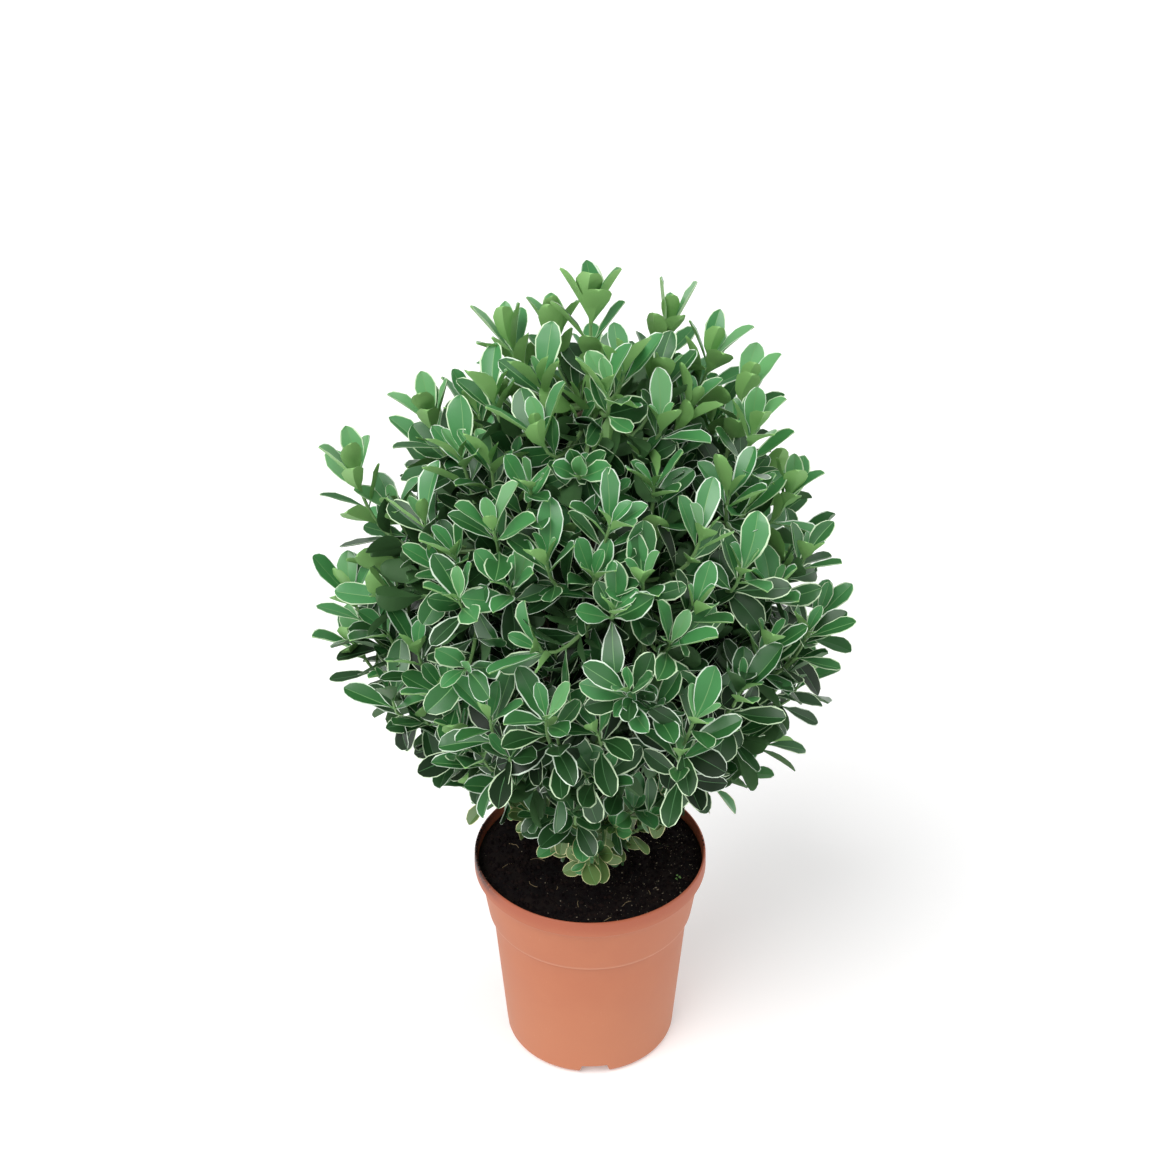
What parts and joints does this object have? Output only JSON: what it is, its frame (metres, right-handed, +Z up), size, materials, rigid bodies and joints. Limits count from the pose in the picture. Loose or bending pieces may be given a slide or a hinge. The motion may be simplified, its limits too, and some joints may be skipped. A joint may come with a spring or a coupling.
{
  "type": "potted japanese spindle shrub",
  "caption": "Bushy evergreen spindle shrub with cream-edged leaves, standing in a round terracotta-coloured plastic pot.",
  "frame": {"origin": "middle of the pot's flat underside, on the pot's axis", "axes": "+Z up, -Y towards the front of the shrub, +X to the right as seen from the front"},
  "size_m": [0.4128, 0.3788, 0.7002],
  "materials": {
    "pot_plastic": "matte moulded plastic in a terracotta colour",
    "compost": "moist dark peat with pale specks",
    "bark": "grey-brown bark, finely cracked",
    "leaves": "leathery, glossy green leaves with a cream edge"
  },
  "bodies": {
    "root": {"pot": "pot_plastic", "compost": "compost", "trunk": "bark", "bough_lower_1": "bark", "bough_lower_2": "bark", "bough_lower_3": "bark", "bough_lower_4": "bark", "bough_middle_1": "bark", "bough_middle_2": "bark", "bough_middle_3": "bark", "bough_middle_4": "bark", "bough_middle_5": "bark", "bough_middle_6": "bark", "bough_upper_1": "bark", "bough_upper_2": "bark", "bough_upper_3": "bark", "bough_upper_4": "bark", "bough_upper_5": "bark", "bough_top": "bark", "foliage_lower_1": "leaves", "foliage_lower_2": "leaves", "foliage_lower_3": "leaves", "foliage_lower_4": "leaves", "foliage_middle_1": "leaves", "foliage_middle_2": "leaves", "foliage_middle_3": "leaves", "foliage_middle_4": "leaves", "foliage_middle_5": "leaves", "foliage_middle_6": "leaves", "foliage_upper_1": "leaves", "foliage_upper_2": "leaves", "foliage_upper_3": "leaves", "foliage_upper_4": "leaves", "foliage_upper_5": "leaves", "foliage_top": "leaves"}
  },
  "joints": []
}
